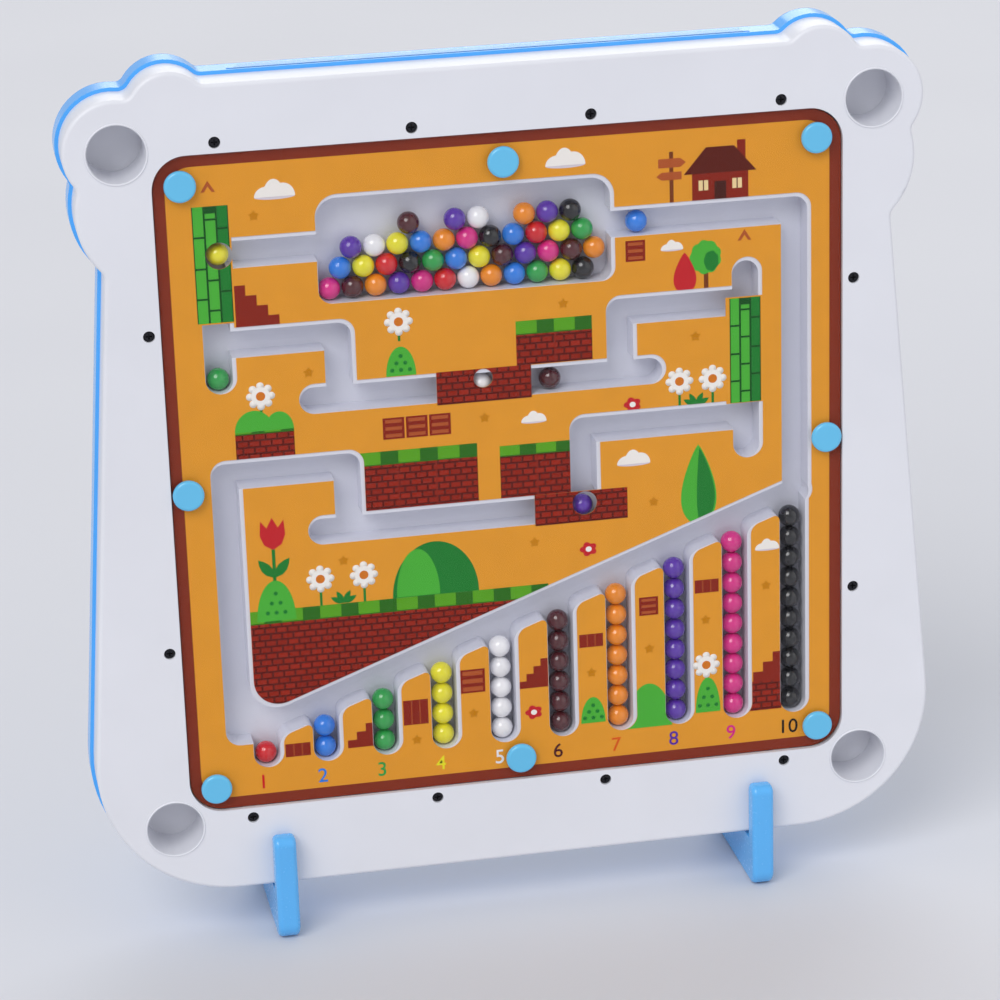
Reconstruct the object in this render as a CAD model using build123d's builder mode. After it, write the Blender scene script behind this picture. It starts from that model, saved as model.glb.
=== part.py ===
from build123d import *
from math import atan2, cos, degrees, hypot, radians, sin, tan
import os

os.makedirs("parts", exist_ok=True)

# Two-sided magnetic toy board standing on two foot stands. The bead maze faces -Y and
# the disc drawing screen faces +Y. Sizes are in millimetres, +Z is up and the floor is Z = 0.
# Heights on the board are measured from the middle of the square maze panel.

# ---- driving dimensions ----------------------------------------------------------------------
panel_middle_height = 170.0
board_middle_y = -7.0

ball_diameter = 7.8
ball_clearance = 0.1
lane_width = 9.4
lane_depth = 9.4
lane_wall = 1.6

panel_half = 120.0
panel_corner = 12.0
panel_gap = 0.3

board_front = -14.0
board_back = 14.0
cover_thickness = 1.5
sheet_gap = 0.2
label_thickness = 0.3
tray_floor = 2.0

shell_wall = 2.2
shell_step = 1.3
face_thickness = 2.5
rim_round = 5.0
notch_round = 3.0
back_round = 1.4

socket_radius = 10.0
socket_depth = 18.0
socket_wall = 2.0
socket_pad_radius = 14.0
socket_pad_rise = 0.8

screen_half_width = 115.0
screen_top = 117.0
screen_bottom = -100.0
window_corner = 8.0
window_round = 1.6
window_thickness = 1.5

cup_pitch = 12.7
cup_columns = 18
cup_rows = 14
cup_radius = 5.45
cup_depth = 1.6
disc_radius = 5.1
disc_thickness = 2.6

card_width = 180.0
card_bottom = -59.7
card_top = 146.3
card_thickness = 0.8

stand_x = 88.0
stand_thickness = 8.0
stand_play = 0.3
stand_round = 1.8

# ---- depths through the board, front to back -------------------------------------------------
cover_back = board_front + cover_thickness
label_back = cover_back + sheet_gap + label_thickness
lane_floor = label_back + lane_depth
tray_back = lane_floor + tray_floor
ball_depth = label_back + lane_depth / 2
card_front = 1.3
card_back = card_front + card_thickness
plate_back = 2.9
plate_front = 6.0
window_inside = board_back - face_thickness - window_thickness
window_outside = board_back - face_thickness
board_bottom = -152.0


def layer(depth):
    """Upright plane at a depth through the board: x is to the right, y is up."""
    origin = (0, board_middle_y + depth, panel_middle_height)
    return Plane(origin=origin, x_dir=(1, 0, 0), z_dir=(0, -1, 0))


def place(x, depth, height):
    """A point of the board in the model's own frame."""
    return (x, board_middle_y + depth, panel_middle_height + height)


# ---- outline of the board: mouse-eared top corners, flared sides, round bottom corners -------
with BuildSketch() as board_outline:
    with BuildLine():
        Line((0, 145), (101, 145))
        ThreePointArc((101, 145), (114, 150), (126.5, 141.3))
        ThreePointArc((126.5, 141.3), (146.2, 134.5), (146, 110))
        ThreePointArc((146, 110), (146.6, 94), (138.8, 80))
        Line((138.8, 80), (153.5, -98))
        ThreePointArc((153.5, -98), (138.9, -137.4), (103.5, board_bottom))
        Line((103.5, board_bottom), (0, board_bottom))
        mirror(about=Plane.YZ)
    make_face()
    fillet([corner for corner in board_outline.vertices() if corner.Y > 75], notch_round)


def draw_outline(inset):
    """Adds the board's silhouette, taken in by an inset, to the sketch being drawn."""
    if inset > 0:
        add(offset(board_outline.sketch, amount=-inset, mode=Mode.PRIVATE))
    else:
        add(board_outline.sketch)


# ---- the maze: a pool, lanes, a ramp and ten columns -----------------------------------------
pool_left = -65.0
pool_right = 37.5
pool_floor = 64.0
pool_top = 101.0
pool_top_corner = 7.0
pool_floor_corner = 4.2

left_drop_x = -100.75
left_lane_x = -101.0
far_right_x = 103.0
right_drop_x = 85.2

lanes = [
    ((left_drop_x, 84), (-60, 84)),
    ((left_drop_x, 95.3), (left_drop_x, 39.7)),
    ((left_drop_x, 52.2), (-59.3, 52.2)),
    ((-59.3, 52.2), (-59.3, 29.7)),
    ((-68.8, 29.7), (50.3, 29.7)),
    ((40, 29.7), (40, 52.2)),
    ((40, 52.2), (right_drop_x, 52.2)),
    ((right_drop_x, 62.3), (right_drop_x, -0.8)),
    ((30, 83.9), (far_right_x, 83.9)),
    ((far_right_x, 83.9), (far_right_x, -20.3)),
    ((26, 10), (right_drop_x, 10)),
    ((26, 10), (26, -18.5)),
    ((-68, -18.5), (36.5, -18.5)),
    ((left_lane_x, 4.7), (-58.2, 4.7)),
    ((-58.2, 4.7), (-58.2, -18.5)),
    ((left_lane_x, 4.7), (left_lane_x, -91.3)),
    ((left_lane_x, -91.3), (-93, -91.3)),
]

ramp_width = lane_width + 0.6
ramp_low = (-93.0, -91.3)
ramp_high = (far_right_x, -20.3)
ramp_slope = (ramp_high[1] - ramp_low[1]) / (ramp_high[0] - ramp_low[0])

column_count = 10
column_first_x = -91.5
column_pitch = 21.5
column_floor = -105.5
ball_pitch = ball_diameter + 0.05

# Stretches where the printed sheet bridges a lane as a tunnel, as left, right, low, high.
stem_bridges = [(-108, -94, 60, 103), (78, 92, 15, 54)]
brick_bridges = [(-25.5, 8, 22, 38), (8, 44, -26, -12.5)]
# Peep holes in those tunnels, as x, height and radius.
peep_holes = [(-98.5, 84.0, 4.7), (-9, 32.5, 3.4), (26, -17.0, 4.4)]
# Rounding of the corners where a lane meets the ramp, at the lane's own edge.
ground_round = 9.8
mouth_right_round = 5.3
mouth_left_round = 2.3


def column_x(index):
    return column_first_x + column_pitch * index


def draw_lane(start, end, width, shape_mode=Mode.ADD):
    """Adds one round-ended lane between two points to the sketch being drawn."""
    run = (end[0] - start[0], end[1] - start[1])
    middle = ((start[0] + end[0]) / 2, (start[1] + end[1]) / 2)
    with Locations(middle):
        SlotCenterToCenter(hypot(*run), width, degrees(atan2(run[1], run[0])), mode=shape_mode)


def draw_corner_round(corner, first, second, radius, shape_mode):
    """Rounds a corner between two lane edges, which leave it at two angles in degrees."""
    opening = radians(second - first) / 2
    middle = radians(second + first) / 2
    reach = radius / tan(opening)
    crest = radius / sin(opening) - radius
    overlap = 1.0
    start = (corner[0] + reach * cos(radians(first)), corner[1] + reach * sin(radians(first)))
    end = (corner[0] + reach * cos(radians(second)), corner[1] + reach * sin(radians(second)))
    top = (corner[0] + crest * cos(middle), corner[1] + crest * sin(middle))
    inside = (corner[0] - overlap * cos(middle), corner[1] - overlap * sin(middle))
    sides = [
        Edge.make_line(inside, start),
        Edge.make_three_point_arc(start, top, end),
        Edge.make_line(end, inside),
    ]
    make_face(sides, mode=shape_mode)


def draw_ramp_corners(grow, shift, shape_mode):
    """Rounds the corners where the columns and the left lane meet the ramp."""
    half_lane = lane_width / 2 + grow
    half_ramp = (ramp_width / 2 + grow) * hypot(1, ramp_slope)
    ramp_angle = degrees(atan2(ramp_slope, 1))

    def on_ramp(x, rise):
        return (x + shift, ramp_low[1] + ramp_slope * (x - ramp_low[0]) + rise + shift)

    ground = on_ramp(left_lane_x + half_lane, half_ramp)
    draw_corner_round(ground, ramp_angle, 90, ground_round - grow, shape_mode)
    for index in range(column_count - 1):
        right_edge = on_ramp(column_x(index) + half_lane, -half_ramp)
        draw_corner_round(right_edge, -90, ramp_angle, mouth_right_round - grow, shape_mode)
        left_edge = on_ramp(column_x(index + 1) - half_lane, -half_ramp)
        draw_corner_round(left_edge, 180 + ramp_angle, 270, mouth_left_round - grow, shape_mode)


def draw_maze(grow, shift=0.0, shape_mode=Mode.ADD):
    """Adds the plan of every lane, grown on all sides, to the sketch being drawn."""
    with Locations((shift, shift)):
        pool_x = (pool_left + pool_right) / 2
        pool_width = pool_right - pool_left + 2 * grow
        pool_height = pool_top - pool_floor + 2 * grow
        with Locations((pool_x, (pool_floor + pool_top) / 2)):
            RectangleRounded(pool_width, pool_height, pool_top_corner + grow, mode=shape_mode)
        with Locations((pool_x, pool_floor - grow + pool_height / 4)):
            RectangleRounded(pool_width, pool_height / 2, pool_floor_corner + grow, mode=shape_mode)
        for start, end in lanes:
            draw_lane(start, end, lane_width + 2 * grow, shape_mode)
        draw_lane(ramp_low, ramp_high, ramp_width + 2 * grow, shape_mode)
        for index in range(column_count):
            x = column_x(index)
            mouth = ramp_low[1] + ramp_slope * max(x - ramp_low[0], 0)
            floor = column_floor + lane_width / 2
            draw_lane((x, floor), (x, mouth), lane_width + 2 * grow, shape_mode)
    draw_ramp_corners(grow, shift, shape_mode)


# ---- fixing points ---------------------------------------------------------------------------
cap_points = [
    (-110.5, 109.5), (0, 109.5), (110.5, 109.5), (-114, 0),
    (114, 0), (-110.5, -111), (0, -111.5), (110.5, -111),
]
case_screw_points = [(sx * 98, sz * 123.7) for sx in (-1, 1) for sz in (-1, 1)]
case_screw_points += [(sx * 124, sz * 58) for sx in (-1, 1) for sz in (-1, 1)]
tray_screw_points = [(sx * 31, sz * 123.7) for sx in (-1, 1) for sz in (-1, 1)]
socket_points = [(-131, 122), (131, 122), (-126, -125), (126, -125)]
peg_points = [(-60, 122.5), (60, 122.5), (-60, -105.5), (60, -105.5)]

cap_stem_radius = 2.8
cap_head_radius = 5.5
cap_height = 1.6
cap_stem_end = -6.0
screw_head_radius = 1.9
screw_head_height = 2.4
screw_shank_radius = 1.1
screw_seat = -11.0
screw_play = 0.15
boss_radius = 3.2
white_boss_radius = 4.2
pilot_radius = 1.15
white_boss_back = -9.8
peg_radius = 1.5
peg_seat_radius = 4.0

# ---- white back shell: face, side wall, leg sockets and screw seats --------------------------
with BuildPart() as white_back_shell:
    with BuildSketch(layer(0)):
        draw_outline(shell_step)
    extrude(amount=-board_front)
    with BuildSketch(layer(0)):
        draw_outline(shell_step + shell_wall)
    extrude(amount=-board_front - face_thickness + 0.5, mode=Mode.SUBTRACT)
    fillet(white_back_shell.faces().sort_by(Axis.Y)[0].outer_wire().edges(), back_round)
    with BuildSketch(layer(board_front + socket_depth + socket_wall)):
        with Locations(*socket_points):
            Circle(socket_radius + socket_wall)
    extrude(amount=socket_depth + socket_wall)
    with BuildSketch(layer(white_boss_back)):
        with Locations(*case_screw_points, *tray_screw_points):
            Circle(white_boss_radius)
    extrude(amount=white_boss_back - board_front - 1)
    with BuildSketch(layer(board_front + socket_depth)):
        with Locations(*socket_points):
            Circle(socket_radius)
    extrude(amount=socket_depth, mode=Mode.SUBTRACT)
    with BuildSketch(layer(screw_seat)):
        with Locations(*case_screw_points, *tray_screw_points):
            Circle(screw_head_radius + screw_play)
    extrude(amount=screw_seat - board_front, mode=Mode.SUBTRACT)
    with BuildSketch(layer(0)):
        with Locations(*case_screw_points, *tray_screw_points):
            Circle(screw_shank_radius + screw_play)
    extrude(amount=-board_front, mode=Mode.SUBTRACT)
    with BuildSketch(layer(0)):
        RectangleRounded(2 * panel_half, 2 * panel_half, panel_corner)
    extrude(amount=-board_front, mode=Mode.SUBTRACT)
white_back_shell.part.label = "white_back_shell"
export_step(white_back_shell.part, "parts/white_back_shell.step")

# ---- maze tray: floor, lane walls, rim, cap posts, screw ears and card guides ----------------
tray_half = panel_half - 0.5
tray_corner = panel_corner - 0.5
tray_rim = 2.0
ear_size = 9.0
ear_inset = 2.7
guide_x = card_width / 2 + 0.6
guide_width = 2.0
guide_height = 176.0
guide_middle = 30.0
guide_depth = card_back + 0.5
with BuildPart() as maze_tray:
    with BuildSketch(layer(tray_back)):
        RectangleRounded(2 * tray_half, 2 * tray_half, tray_corner)
    extrude(amount=tray_floor)
    with BuildSketch(layer(lane_floor)):
        RectangleRounded(2 * tray_half, 2 * tray_half, tray_corner)
        inner = tray_half - tray_rim
        RectangleRounded(2 * inner, 2 * inner, tray_corner - tray_rim, mode=Mode.SUBTRACT)
    extrude(amount=lane_depth)
    with BuildSketch(layer(lane_floor)):
        draw_maze(lane_wall)
        with Locations(*cap_points):
            Circle(cap_stem_radius + 2)
        draw_maze(0, shape_mode=Mode.SUBTRACT)
    extrude(amount=lane_depth)
    with BuildSketch(layer(tray_back)):
        with Locations(*[(x, z - ear_inset if z > 0 else z + ear_inset) for x, z in tray_screw_points]):
            Rectangle(ear_size, ear_size)
    extrude(amount=tray_back - white_boss_back)
    with BuildSketch(layer(label_back)):
        with Locations(*cap_points):
            Circle(cap_stem_radius + 0.1)
    extrude(amount=label_back - cap_stem_end - 0.5, mode=Mode.SUBTRACT)
    with BuildSketch(layer(-1.6)):
        with Locations(*tray_screw_points):
            Circle(pilot_radius)
    extrude(amount=12, mode=Mode.SUBTRACT)
    with BuildSketch(layer(guide_depth)):
        guide_middle_x = guide_x + guide_width / 2
        with Locations((-guide_middle_x, guide_middle), (guide_middle_x, guide_middle)):
            Rectangle(guide_width, guide_height)
        with Locations((0, card_bottom - 1.3)):
            Rectangle(card_width + 2 * guide_width, guide_width)
    extrude(amount=guide_depth - tray_back)
maze_tray.part.label = "maze_tray"
export_step(maze_tray.part, "parts/maze_tray.step")

# ---- printed maze sheet, cut out over the open lanes -----------------------------------------
lip = 0.8
with BuildPart() as maze_label:
    with BuildSketch(layer(label_back)):
        RectangleRounded(2 * (panel_half - panel_gap), 2 * (panel_half - panel_gap), panel_corner)
        draw_maze(lip, shift=lip - 0.2, shape_mode=Mode.SUBTRACT)
        for left, right, low, high in stem_bridges + brick_bridges:
            with Locations(((left + right) / 2, (low + high) / 2)):
                Rectangle(right - left, high - low)
        for x, z, radius in peep_holes:
            with Locations((x, z)):
                Circle(radius, mode=Mode.SUBTRACT)
        with Locations(*cap_points):
            Circle(cap_stem_radius + 0.2, mode=Mode.SUBTRACT)
    extrude(amount=label_thickness)
maze_label.part.label = "maze_label"
export_step(maze_label.part, "parts/maze_label.step")

# ---- clear cover over the maze, with its eight caps ------------------------------------------
with BuildPart() as maze_cover:
    with BuildSketch(layer(cover_back)):
        RectangleRounded(2 * (panel_half - panel_gap), 2 * (panel_half - panel_gap), panel_corner)
        with Locations(*cap_points):
            Circle(cap_stem_radius + 0.2, mode=Mode.SUBTRACT)
    extrude(amount=cover_thickness)
maze_cover.part.label = "maze_cover"
export_step(maze_cover.part, "parts/maze_cover.step")

with BuildPart() as cover_caps:
    with BuildSketch(layer(board_front)):
        with Locations(*cap_points):
            Circle(cap_head_radius)
    extrude(amount=cap_height)
    crowns = cover_caps.faces().group_by(Axis.Y)[0].edges()
    fillet(crowns, cap_height - 0.5)
    with BuildSketch(layer(cap_stem_end)):
        with Locations(*cap_points):
            Circle(cap_stem_radius)
    extrude(amount=cap_stem_end - board_front)
cover_caps.part.label = "cover_caps"
export_step(cover_caps.part, "parts/cover_caps.step")


# ---- screws: eight join the shells, four hold the maze tray ----------------------------------
def write_screws(name, points, tip_depth):
    """Writes one group of cross-recessed pan-head screws, driven in from the maze side."""
    with BuildPart() as screws:
        with BuildSketch(layer(screw_seat)):
            with Locations(*points):
                Circle(screw_head_radius)
        extrude(amount=screw_head_height)
        fillet(screws.faces().group_by(Axis.Y)[0].edges(), 0.6)
        with BuildSketch(layer(tip_depth)):
            with Locations(*points):
                Circle(screw_shank_radius)
        extrude(amount=tip_depth - screw_seat)
        with BuildSketch(layer(screw_seat + 1.2 - screw_head_height)):
            with Locations(*points):
                Rectangle(2.2, 0.5)
                Rectangle(0.5, 2.2)
        extrude(amount=2, mode=Mode.SUBTRACT)
    screws.part.label = name
    export_step(screws.part, f"parts/{name}.step")


write_screws("case_screws", case_screw_points, 3.0)
write_screws("tray_screws", tray_screw_points, -2.0)

# ---- blue front shell: rounded frame, window, pen pocket, bosses and card slot ---------------
pen_height = -127.0
pen_length = 96.0
pen_radius = 5.25
pen_play = 1.2
pen_depth = board_back - 3.4
pocket_floor = pen_depth - pen_radius - 0.3
pocket_wall = 1.5
plug_height = -112.0
plug_hole_radius = 4.0
pilot_end = 4.0
with BuildPart() as blue_front_shell:
    with BuildSketch(layer(board_back)):
        draw_outline(0)
    extrude(amount=board_back)
    fillet(blue_front_shell.faces().sort_by(Axis.Y)[-1].edges(), rim_round)
    with BuildSketch(layer(window_outside)):
        draw_outline(rim_round + 1.5)
    extrude(amount=window_outside, mode=Mode.SUBTRACT)
    with BuildSketch(layer(board_back - rim_round)):
        draw_outline(shell_wall)
    extrude(amount=board_back - rim_round, mode=Mode.SUBTRACT)
    with BuildSketch(layer(board_back + socket_pad_rise)):
        with Locations(*socket_points[2:]):
            Circle(socket_pad_radius)
    extrude(amount=2 * socket_pad_rise)
    fillet(blue_front_shell.faces().sort_by(Axis.Y)[-2:].edges(), 0.7)
    with BuildSketch(layer(window_outside)):
        with Locations(*case_screw_points):
            Circle(boss_radius)
    extrude(amount=window_outside - white_boss_back)
    with BuildSketch(layer(window_outside)):
        with Locations(*peg_points):
            Circle(peg_radius)
    extrude(amount=window_outside - plate_back)
    with BuildSketch(layer(window_outside)):
        with Locations((0, pen_height)):
            SlotOverall(
                pen_length + 2 * pen_play + 2 * pocket_wall,
                2 * (pen_radius + pen_play + pocket_wall),
            )
    extrude(amount=window_outside - pocket_floor + pocket_wall)
    with BuildSketch(layer(board_back)):
        with Locations((0, pen_height)):
            SlotOverall(pen_length + 2 * pen_play, 2 * (pen_radius + pen_play))
    extrude(amount=board_back - pocket_floor, mode=Mode.SUBTRACT)
    with BuildSketch(layer(board_back)):
        with Locations((0, (screen_top + screen_bottom) / 2)):
            RectangleRounded(2 * screen_half_width, screen_top - screen_bottom, window_corner)
        with Locations((0, plug_height)):
            Circle(plug_hole_radius)
    extrude(amount=face_thickness + 1, mode=Mode.SUBTRACT)
    with BuildSketch(layer(pilot_end)):
        with Locations(*case_screw_points):
            Circle(pilot_radius)
    extrude(amount=pilot_end - white_boss_back, mode=Mode.SUBTRACT)
    with BuildSketch(layer(card_back + 0.4)):
        with Locations((0, 145)):
            Rectangle(card_width + 2, 14)
    extrude(amount=card_thickness + 0.8, mode=Mode.SUBTRACT)
    pierced = [face for face in blue_front_shell.faces().filter_by(Axis.Y) if face.inner_wires()]
    front_face = max(pierced, key=lambda face: (round(face.center().Y, 2), len(face.inner_wires())))
    window_edge = max(front_face.inner_wires(), key=lambda wire: wire.length)
    fillet(window_edge.edges(), window_round)
blue_front_shell.part.label = "blue_front_shell"
export_step(blue_front_shell.part, "parts/blue_front_shell.step")

# ---- drawing screen: cup plate with its rim, and the clear window ----------------------------
plate_half_width = screen_half_width + 2.7
plate_top = screen_top + 2.8
plate_bottom = screen_bottom - 3.0
plate_middle = (plate_top + plate_bottom) / 2
plate_inner_width = 2 * screen_half_width + 0.4
plate_inner_height = plate_top - plate_bottom - 5
plate_corner = 9.0
plate_inner_corner = 7.0
cup_top_row = screen_top - 8.0
cup_points = [
    (cup_pitch * (column - (cup_columns - 1) / 2), cup_top_row - cup_pitch * row)
    for row in range(cup_rows)
    for column in range(cup_columns)
]
with BuildPart() as disc_plate:
    with BuildSketch(layer(plate_front)):
        with Locations((0, plate_middle)):
            RectangleRounded(2 * plate_half_width, plate_top - plate_bottom, plate_corner)
        with Locations(*peg_points):
            Circle(peg_seat_radius)
    extrude(amount=plate_front - plate_back)
    with BuildSketch(layer(window_inside)):
        with Locations((0, plate_middle)):
            RectangleRounded(2 * plate_half_width, plate_top - plate_bottom, plate_corner)
            RectangleRounded(
                plate_inner_width, plate_inner_height, plate_inner_corner, mode=Mode.SUBTRACT
            )
    extrude(amount=window_inside - plate_front)
    with BuildSketch(layer(plate_front)):
        with Locations(*cup_points):
            Circle(cup_radius)
    extrude(amount=cup_depth, mode=Mode.SUBTRACT)
    with BuildSketch(layer(plate_front)):
        with Locations(*peg_points):
            Circle(peg_radius + 0.1)
    extrude(amount=plate_front - plate_back, mode=Mode.SUBTRACT)
disc_plate.part.label = "disc_plate"
export_step(disc_plate.part, "parts/disc_plate.step")

with BuildPart() as disc_window:
    with BuildSketch(layer(window_outside)):
        with Locations((0, plate_middle)):
            RectangleRounded(2 * plate_half_width, plate_top - plate_bottom, plate_corner)
    extrude(amount=window_thickness)
disc_window.part.label = "disc_window"
export_step(disc_window.part, "parts/disc_window.step")

# ---- clear pattern card, kept in the slot along the top edge ---------------------------------
with BuildPart() as pattern_card:
    with BuildSketch(layer(card_back)):
        with Locations((0, (card_bottom + card_top) / 2)):
            RectangleRounded(card_width, card_top - card_bottom, 4)
    extrude(amount=card_thickness)
pattern_card.part.label = "pattern_card"
export_step(pattern_card.part, "parts/pattern_card.step")

# ---- magnetic pen in its pocket, and the disc filler plug ------------------------------------
tip_length = 5.0
tip_radius = 2.6
end_cap_length = 9.0
with BuildPart() as pen_barrel:
    with BuildSketch(Plane.XY.offset(panel_middle_height + pen_height)):
        with BuildLine():
            back = -pen_length / 2 + end_cap_length
            tip = pen_length / 2 - tip_length
            axis_y = board_middle_y + pen_depth
            Line((back, axis_y), (back, axis_y + pen_radius - 0.3))
            Line((back, axis_y + pen_radius - 0.3), (tip - 26, axis_y + pen_radius - 0.3))
            Line((tip - 26, axis_y + pen_radius - 0.3), (tip - 25, axis_y + pen_radius))
            Line((tip - 25, axis_y + pen_radius), (tip - 14, axis_y + pen_radius))
            nose = (tip, axis_y + tip_radius + 0.4)
            ThreePointArc((tip - 14, axis_y + pen_radius), (tip - 5, axis_y + 4.6), nose)
            Line(nose, (tip, axis_y))
            Line((tip, axis_y), (back, axis_y))
        make_face()
    revolve(axis=Axis((0, axis_y, panel_middle_height + pen_height), (1, 0, 0)))
pen_barrel.part.label = "pen_barrel"
export_step(pen_barrel.part, "parts/pen_barrel.step")


def pen_section(x):
    """Plane square to the pen at a distance along it, facing the tip."""
    origin = (x, board_middle_y + pen_depth, panel_middle_height + pen_height)
    return Plane(origin=origin, x_dir=(0, 1, 0), z_dir=(1, 0, 0))


with BuildPart() as pen_magnet:
    with BuildSketch(pen_section(pen_length / 2 - tip_length)):
        Circle(tip_radius)
    extrude(amount=tip_length)
    fillet(pen_magnet.faces().sort_by(Axis.X)[-1].edges(), 1.2)
pen_magnet.part.label = "pen_magnet"
export_step(pen_magnet.part, "parts/pen_magnet.step")

with BuildPart() as pen_end_cap:
    with BuildSketch(pen_section(-pen_length / 2)):
        Circle(pen_radius)
    extrude(amount=end_cap_length)
    fillet(pen_end_cap.faces().sort_by(Axis.X)[0].edges(), 3.0)
pen_end_cap.part.label = "pen_end_cap"
export_step(pen_end_cap.part, "parts/pen_end_cap.step")

plug_head_radius = 4.9
plug_head_height = 1.2
plug_head_gap = 0.3
plug_stem_length = 5.0
with BuildPart() as filler_plug:
    with BuildSketch(layer(board_back + plug_head_gap + plug_head_height)):
        with Locations((0, plug_height)):
            Circle(plug_head_radius)
    extrude(amount=plug_head_height)
    fillet(filler_plug.faces().sort_by(Axis.Y)[-1].edges(), 0.8)
    with BuildSketch(layer(board_back + 0.4)):
        with Locations((0, plug_height)):
            Circle(plug_hole_radius - 0.3)
    extrude(amount=plug_stem_length)
filler_plug.part.label = "filler_plug"
export_step(filler_plug.part, "parts/filler_plug.step")

# ---- foot stands: a fork that takes the board's bottom edge, on a long foot ------------------
prong_thickness = 8.0
prong_height = 40.0
prong_round = 3.2
foot_end_height = 6.0
foot_end_round = 6.0
heel_height = 20.0

slot_floor = panel_middle_height + board_bottom - stand_play
slot_front = board_middle_y + board_front - stand_play
slot_back = board_middle_y + board_back + stand_play
foot_front = slot_front - prong_thickness
foot_end = -foot_front
for name, centre_x in (("stand_left", -stand_x), ("stand_right", stand_x)):
    with BuildPart() as stand:
        with BuildSketch(Plane.YZ.offset(centre_x - stand_thickness / 2)) as profile:
            with BuildLine():
                Polyline(
                    (foot_front, 0), (foot_end, 0), (foot_end, foot_end_height),
                    (slot_back + prong_thickness, heel_height),
                    (slot_back + prong_thickness, prong_height),
                    (slot_back, prong_height), (slot_back, slot_floor), (slot_front, slot_floor),
                    (slot_front, prong_height), (foot_front, prong_height), (foot_front, 0),
                )
            make_face()
            fillet(profile.vertices().group_by(Axis.Y)[-1], prong_round)
            fillet(profile.vertices().group_by(Axis.Y)[0].sort_by(Axis.X)[0], foot_end_round)
        extrude(amount=stand_thickness)
        sides = stand.faces().filter_by(Axis.X)
        rims = [edge for side in sides for edge in side.edges()]
        outer = [
            edge for edge in rims
            if edge.center().Y < slot_front - 0.2 or edge.center().Z > prong_height - 10
        ]
        fillet(outer, stand_round)
    stand.part.label = name
    export_step(stand.part, f"parts/{name}.step")

# ---- balls -----------------------------------------------------------------------------------
ball_colours = {
    "r": "red", "b": "blue", "g": "green", "y": "yellow", "w": "white",
    "n": "brown", "o": "orange", "p": "purple", "k": "pink", "x": "black",
}


def write_balls(name, points):
    """Writes one group of loose balls, each a solid of its own."""
    with BuildPart() as balls:
        with Locations(*[place(x, ball_depth, z) for x, z in points]):
            Sphere(ball_diameter / 2)
    balls.part.label = name
    export_step(balls.part, f"parts/{name}.step")


# Ten sorted columns: one red ball, two blue, and so on up to ten black.
column_order = "rbgywnopkx"
for index, letter in enumerate(column_order):
    first = column_floor + ball_clearance + ball_diameter / 2
    stack = [(column_x(index), first + ball_pitch * step) for step in range(index + 1)]
    write_balls(f"column_{index + 1:02d}_{ball_colours[letter]}_balls", stack)

# The heap in the pool, bottom row first. A dot is an empty place.
heap_rows = ["knopkrwobgyx", "byrxgbynpkno", ".pwybokxbryg", "...n.pw.opx."]
heap_pitch = 8.1
heap_row_rise = 7.0
heap_first_x = pool_left + ball_clearance + 0.2 + ball_diameter / 2
heap = {letter: [] for letter in ball_colours}
for row, letters in enumerate(heap_rows):
    for place_index, letter in enumerate(letters):
        if letter == ".":
            continue
        x = heap_first_x + heap_pitch * (place_index + 0.5 * (row % 2))
        z = pool_floor + ball_clearance + ball_diameter / 2 + heap_row_rise * row
        heap[letter].append((x, z))
for letter, points in heap.items():
    write_balls(f"pool_{ball_colours[letter]}_balls", points)

# Six balls on their way through the lanes.
rest_gap = (lane_width - ball_diameter) / 2 - ball_clearance
lane_balls = {
    "yellow": (-98.5, 84.0 - rest_gap),
    "green": (left_drop_x, 39.7 - rest_gap),
    "blue": (47.5, 83.9 - rest_gap),
    "brown": (15.5, 29.7 - rest_gap),
    "white": (-9.0, 29.7 - rest_gap),
    "purple": (26.0, -18.5 - rest_gap),
}
for colour, point in lane_balls.items():
    write_balls(f"lane_{colour}_ball", [point])

# ---- magnetic discs --------------------------------------------------------------------------
disc_colours = {"r": "red", "b": "blue", "g": "green", "y": "yellow", "x": "black"}
picture_rows = [
    "....rr......rr....",
    "...r..r....r..r...",
    "....bb.r..r.bb....",
    "...b..b.xx.b..b...",
    "..g....bxxb....g..",
    "..g.....yy.....g..",
    "..g....y..y....g..",
    "...b...yyyy...b...",
    "....b..y..y..b....",
    "...b...yyyy...b...",
    "..b....y..y....b..",
    "...y..b.yy.b..y...",
    "....yb......by....",
]
loose_rows = ["yrrygxrbgxrryybrgxyxx", "xbr.ygb..yxrbr..byyx.", ".bg..yr...xrby...ygx."]
loose_pitch = 10.4
loose_row_rise = 9.1


def write_discs(name, points, face_depth):
    """Writes one group of discs with eased edges, each a solid of its own."""
    with BuildPart() as discs:
        with BuildSketch(layer(face_depth)):
            with Locations(*points):
                Circle(disc_radius)
        extrude(amount=disc_thickness)
        chamfer(discs.edges().filter_by(GeomType.CIRCLE), 0.35)
    discs.part.label = name
    export_step(discs.part, f"parts/{name}.step")


for letter, colour in disc_colours.items():
    points = [
        (cup_pitch * (column - (cup_columns - 1) / 2), cup_top_row - cup_pitch * row)
        for row, letters in enumerate(picture_rows)
        for column, mark in enumerate(letters)
        if mark == letter
    ]
    write_discs(f"picture_{colour}_discs", points, plate_front - cup_depth + 0.1 + disc_thickness)

for letter, colour in disc_colours.items():
    points = [
        (
            loose_pitch * (place_index - 10 + 0.5 * (row % 2)),
            screen_bottom + 0.3 + disc_radius + loose_row_rise * row,
        )
        for row, letters in enumerate(loose_rows)
        for place_index, mark in enumerate(letters)
        if mark == letter
    ]
    write_discs(f"loose_{colour}_discs", points, plate_front + 0.1 + disc_thickness)
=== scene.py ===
import math

import bmesh
import bpy
from mathutils import Matrix, Vector


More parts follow.
